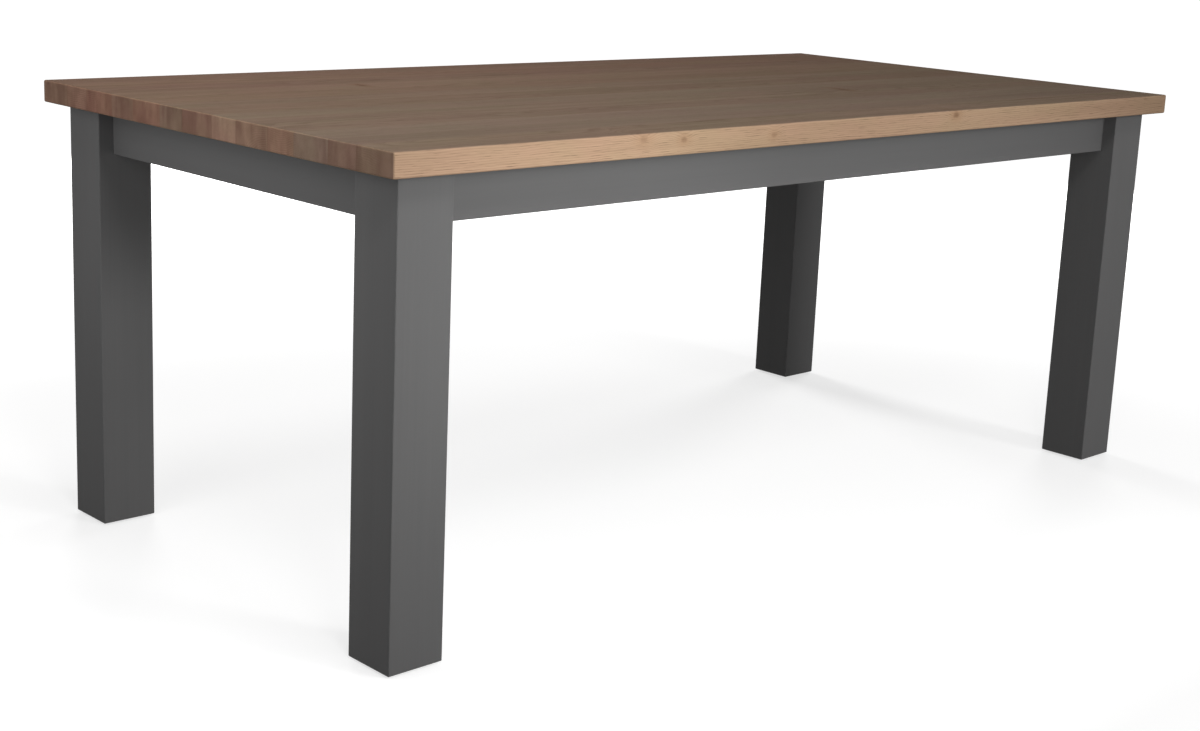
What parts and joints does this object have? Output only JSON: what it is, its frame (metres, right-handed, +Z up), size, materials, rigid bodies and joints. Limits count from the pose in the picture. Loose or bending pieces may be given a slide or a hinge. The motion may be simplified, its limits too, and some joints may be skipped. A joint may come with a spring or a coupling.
{
  "type": "dining table",
  "caption": "Rectangular dining table: an edge-glued solid oak top on square painted legs, with set-back aprons, corner blocks and hanger bolts.",
  "frame": {"origin": "on the floor, under the middle of the top", "axes": "+X along the length of the top, +Y across its width towards the back, +Z up"},
  "size_m": [2, 1, 0.78],
  "materials": {
    "oak": "matte",
    "grey_paint_on_wood": "satin",
    "plain_wood": "matte",
    "zinc_steel": "satin",
    "nylon": "matte"
  },
  "bodies": {
    "root": {"apron_back": "grey_paint_on_wood", "apron_dowels": "plain_wood", "apron_front": "grey_paint_on_wood", "apron_left": "grey_paint_on_wood", "apron_right": "grey_paint_on_wood", "block_screws": "zinc_steel", "clip_screws": "zinc_steel", "corner_block_back_left": "plain_wood", "corner_block_back_right": "plain_wood", "corner_block_front_left": "plain_wood", "corner_block_front_right": "plain_wood", "cross_rail_left": "plain_wood", "cross_rail_right": "plain_wood", "glide_back_left": "nylon", "glide_back_right": "nylon", "glide_front_left": "nylon", "glide_front_right": "nylon", "glide_screws": "zinc_steel", "hanger_bolts": "zinc_steel", "hanger_nuts": "zinc_steel", "hanger_washers": "zinc_steel", "leg_back_left": "grey_paint_on_wood", "leg_back_right": "grey_paint_on_wood", "leg_front_left": "grey_paint_on_wood", "leg_front_right": "grey_paint_on_wood", "rail_screws": "zinc_steel", "top_clips": "zinc_steel", "top_stave_01": "oak", "top_stave_02": "oak", "top_stave_03": "oak", "top_stave_04": "oak", "top_stave_05": "oak", "top_stave_06": "oak", "top_stave_07": "oak", "top_stave_08": "oak", "top_stave_09": "oak", "top_stave_10": "oak", "top_stave_11": "oak", "top_stave_12": "oak", "top_stave_13": "oak"}
  },
  "joints": []
}
